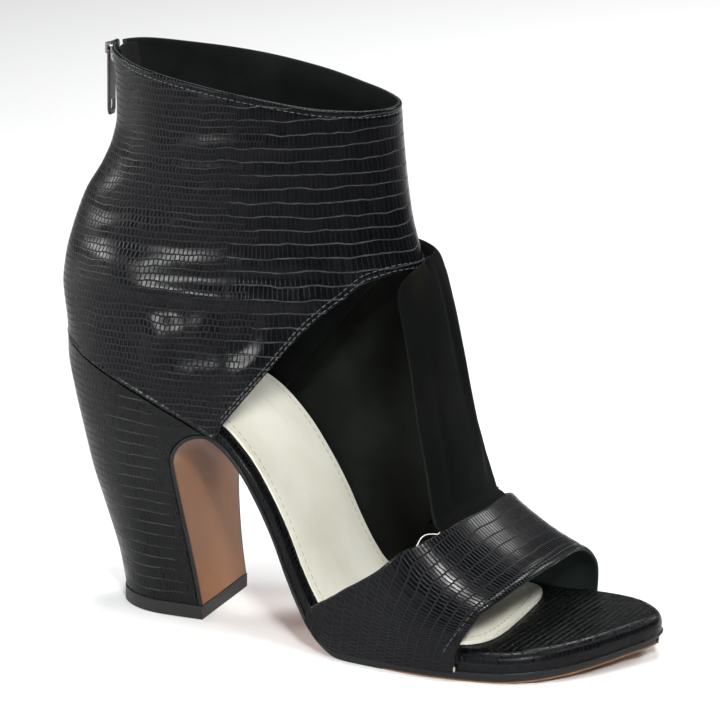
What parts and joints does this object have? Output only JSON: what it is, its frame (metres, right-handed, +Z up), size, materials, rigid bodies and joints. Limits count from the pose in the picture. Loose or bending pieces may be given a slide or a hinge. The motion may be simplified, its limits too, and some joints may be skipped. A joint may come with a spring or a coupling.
{
  "type": "open-toe ankle bootie sandal",
  "caption": "Open-toe ankle bootie with a high covered block heel, lizard-embossed cuff and toe strap, suede instep panel and back zip; right shoe.",
  "frame": {"origin": "on the floor, in the middle of the heel tip's face", "axes": "+X towards the toe, +Y towards the inner (medial) side, +Z up, with the shoe standing on its sole"},
  "size_m": [0.2261, 0.0871, 0.2054],
  "materials": {
    "lizard_leather": "black, glossy, lizard-embossed",
    "suede": "black suede, matt",
    "sock_leather": "cream, smooth, satin",
    "sole_leather": "tan, smooth, edges dyed black",
    "tip_rubber": "black, matt",
    "zip_cloth": "black woven tape",
    "zip_metal": "dark nickel"
  },
  "bodies": {
    "shoe": {"cuff": "lizard_leather", "instep_panel": "suede", "toe_strap": "lizard_leather", "platform_board": "lizard_leather", "insole_sock": "sock_leather", "outsole": "sole_leather", "heel_block": "lizard_leather", "heel_tip": "tip_rubber", "zip_tape": "zip_cloth", "zip_chain": "zip_metal", "zip_slider": "zip_metal"},
    "pull": {"zip_pull": "zip_metal"}
  },
  "joints": [
    {"name": "pull_swing", "type": "hinge", "parent": "shoe", "child": "pull", "pos_m": [-0.0275, 0, 0.2024], "axis": [0, 1, 0], "range_deg": [0, 165]}
  ]
}
